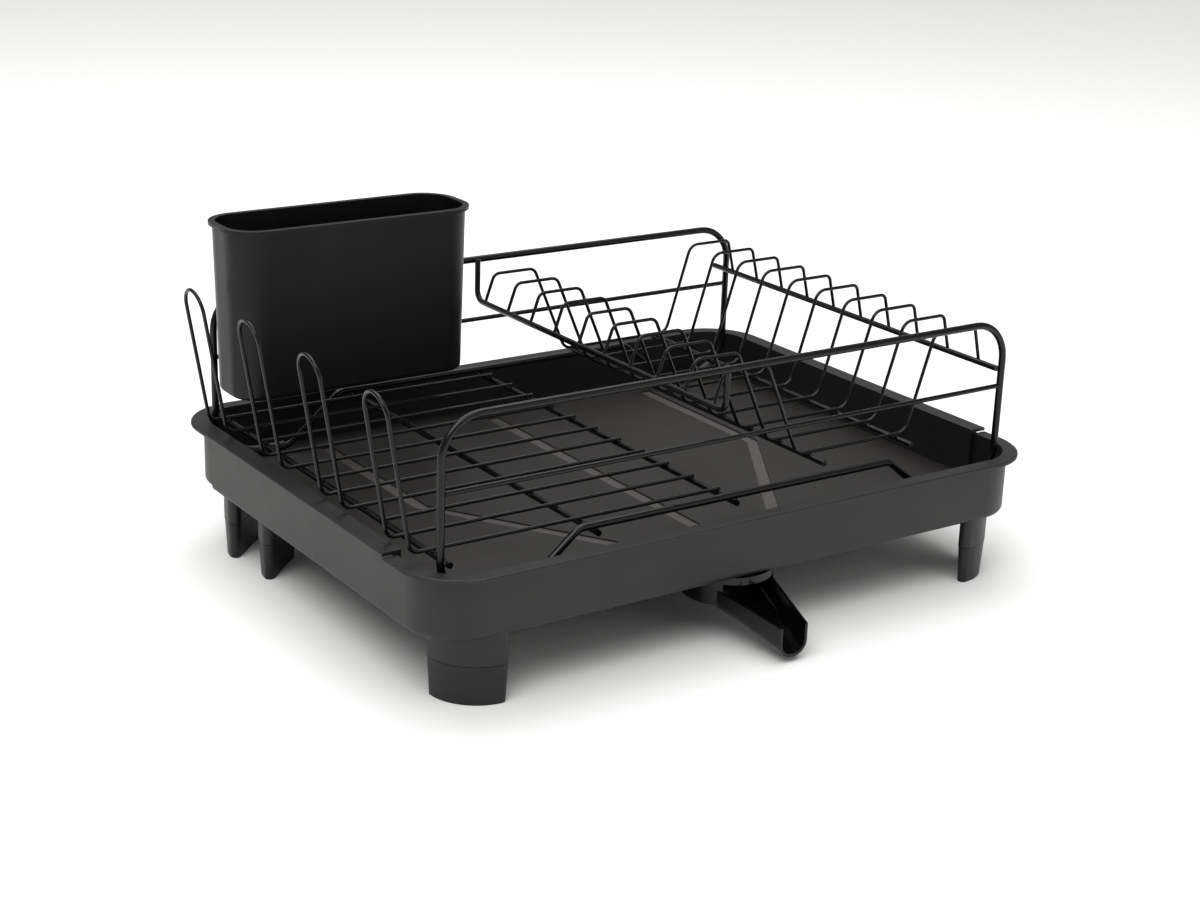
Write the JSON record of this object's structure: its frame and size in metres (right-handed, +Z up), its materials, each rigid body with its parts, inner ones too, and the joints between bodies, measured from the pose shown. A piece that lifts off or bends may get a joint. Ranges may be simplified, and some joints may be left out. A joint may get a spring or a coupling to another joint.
{
  "type": "dish drying rack",
  "caption": "Wire dish drying rack with plate dividers, cup loops and a hooked cutlery caddy, standing in an extending drip tray with a swivelling drain spout.",
  "frame": {"origin": "bottom centre of the whole object's bounding box, on the ground under the feet", "axes": "+X to the right along the long side, +Y from the spout towards the back, +Z up"},
  "size_m": [0.4986, 0.4046, 0.2375],
  "materials": {
    "tray_plastic": "fine satin moulded plastic",
    "foot_plastic": "fine satin moulded plastic",
    "caddy_plastic": "satin moulded plastic",
    "spout_plastic": "polished moulded plastic",
    "coated_wire": "semi-gloss coating on steel wire",
    "rubber": "matt black rubber"
  },
  "bodies": {
    "front_tray": {"front_tray": "tray_plastic", "foot_cap_front_left": "foot_plastic", "foot_cap_front_right": "foot_plastic", "foot_cap_middle_left": "foot_plastic", "foot_cap_middle_right": "foot_plastic"},
    "back_tray": {"back_tray": "tray_plastic", "foot_cap_back_left": "foot_plastic", "foot_cap_back_right": "foot_plastic"},
    "spout": {"drain_spout": "spout_plastic", "spout_retainer": "spout_plastic", "drain_seal": "rubber"},
    "rack": {"front_side_frame": "coated_wire", "back_side_frame": "coated_wire", "front_mid_rail": "coated_wire", "back_mid_rail": "coated_wire", "cross_wire_left": "coated_wire", "cross_wire_middle": "coated_wire", "cross_wire_right": "coated_wire", "cup_loop_1": "coated_wire", "cup_loop_2": "coated_wire", "cup_loop_3": "coated_wire", "cup_loop_4": "coated_wire", "grid_wire_1": "coated_wire", "grid_wire_2": "coated_wire", "grid_wire_3": "coated_wire", "plate_wire_01": "coated_wire", "plate_wire_02": "coated_wire", "plate_wire_03": "coated_wire", "plate_wire_04": "coated_wire", "plate_wire_05": "coated_wire", "plate_wire_06": "coated_wire", "plate_wire_07": "coated_wire", "plate_wire_08": "coated_wire", "plate_wire_09": "coated_wire", "plate_wire_10": "coated_wire", "inner_plate_beam": "coated_wire", "outer_plate_beam": "coated_wire", "inner_plate_rail": "coated_wire", "outer_plate_rail": "coated_wire", "foot_sleeve_front_left": "rubber", "foot_sleeve_front_right": "rubber", "foot_sleeve_back_left": "rubber", "foot_sleeve_back_right": "rubber"},
    "caddy": {"cutlery_caddy": "caddy_plastic"}
  },
  "joints": [
    {"name": "tray_extend", "type": "slide", "parent": "front_tray", "child": "back_tray", "axis": [0, 1, 0], "range_m": [0, 0.1395]},
    {"name": "spout_swivel", "type": "hinge", "parent": "front_tray", "child": "spout", "pos_m": [0.00328, -0.12925, 0.0442], "axis": [0, 0, 1], "range_deg": [-90, 90]},
    {"name": "rack_lift", "type": "slide", "parent": "front_tray", "child": "rack", "axis": [0, 0, 1], "range_m": [0, 0.25]},
    {"name": "caddy_lift", "type": "slide", "parent": "rack", "child": "caddy", "axis": [0, 0, 1], "range_m": [0, 0.12]}
  ]
}
